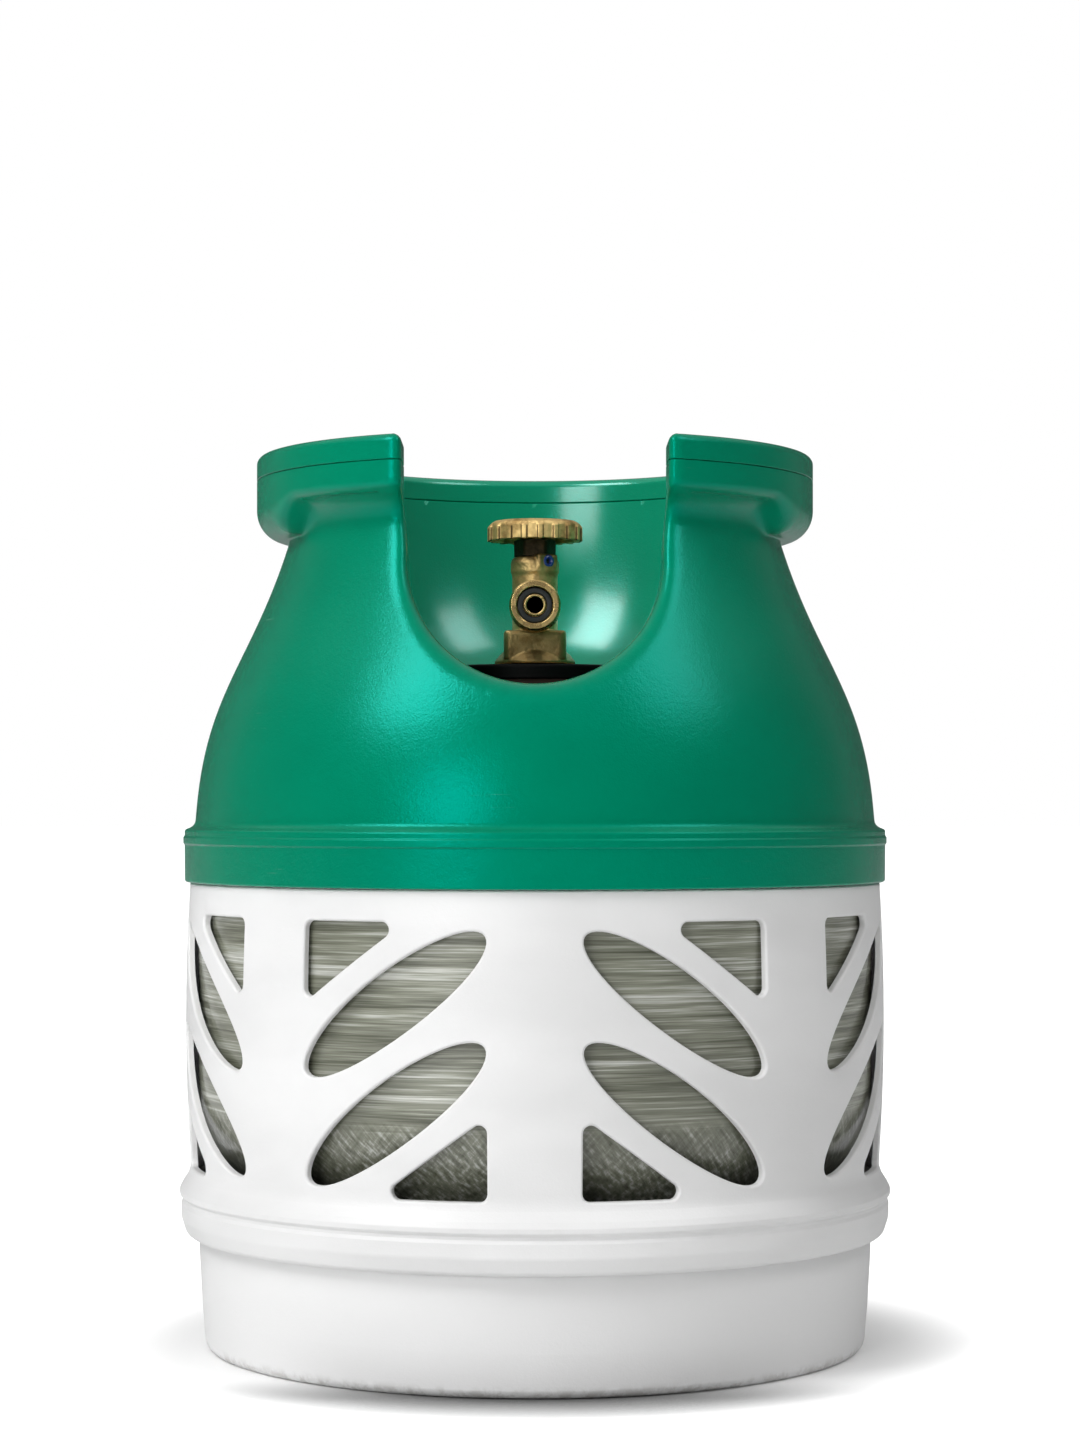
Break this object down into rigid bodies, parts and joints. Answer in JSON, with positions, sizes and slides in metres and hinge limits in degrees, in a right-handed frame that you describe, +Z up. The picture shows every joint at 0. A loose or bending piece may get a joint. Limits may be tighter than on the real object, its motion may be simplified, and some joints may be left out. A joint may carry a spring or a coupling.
{
  "type": "propane tank",
  "caption": "Composite propane tank: wound vessel in a round two-colour plastic casing with windows, a grip ring, and a hand-wheel valve in a U-shaped opening.",
  "frame": {"origin": "centre of the foot, on the plane that the foot stands on", "axes": "+Z up along the tank's axis, -Y towards the valve outlet and the U-shaped opening, +X to the right seen from the front"},
  "size_m": [0.305, 0.305, 0.38],
  "materials": {
    "green_plastic": "satin moulded polyethylene, green",
    "white_plastic": "satin moulded polyethylene, white",
    "fibre": "glass fibre in clear resin, glossy",
    "natural_plastic": "uncoloured polyethylene or nylon",
    "brass": "hot-forged brass, slightly dull",
    "dark_brass": "blackened brass",
    "steel": "plain stainless steel",
    "black_plastic": "satin black plastic",
    "rubber": "black nitrile rubber",
    "blue_lacquer": "blue tamper lacquer"
  },
  "bodies": {
    "tank": {"grip_cap": "green_plastic", "top_casing": "green_plastic", "middle_sleeve": "white_plastic", "base_cup": "white_plastic", "composite_shell": "fibre", "liner": "natural_plastic", "neck_boss": "brass", "neck_seal": "rubber", "neck_collar": "black_plastic", "valve_body": "brass", "outlet_nozzle": "brass", "outlet_seal": "rubber", "gland_nut": "dark_brass", "spindle_seal_lower": "rubber", "spindle_seal_upper": "rubber", "thrust_washer": "natural_plastic", "bonnet_lock_screw": "steel", "lock_screw_lacquer": "blue_lacquer", "relief_spring": "steel", "relief_adjuster": "brass", "relief_dust_cap": "black_plastic"},
    "wheel": {"hand_wheel": "brass", "wheel_washer": "steel", "wheel_nut": "brass", "spindle": "brass"},
    "plug": {"valve_plug": "brass", "plug_seat_pad": "natural_plastic"},
    "relief": {"relief_poppet": "brass", "relief_seal": "rubber"}
  },
  "joints": [
    {"name": "wheel_turn", "type": "hinge", "parent": "tank", "child": "wheel", "pos_m": [0, 0, 0.3475], "axis": [0, 0, 1], "range_deg": [0, 720]},
    {"name": "plug_climb", "type": "slide", "parent": "wheel", "child": "plug", "axis": [0, 0, 1], "range_m": [0, 0.0031]},
    {"name": "relief_lift", "type": "slide", "parent": "tank", "child": "relief", "axis": [0, 0, 1], "range_m": [0, 0.0015], "stiffness_N_per_m": 2000, "springref_m": -0.004, "deforming": ["relief_spring"]}
  ],
  "couplings": [
    {"joint": "plug_climb", "follows": "wheel_turn", "m_per_rad": 0.00023873}
  ]
}
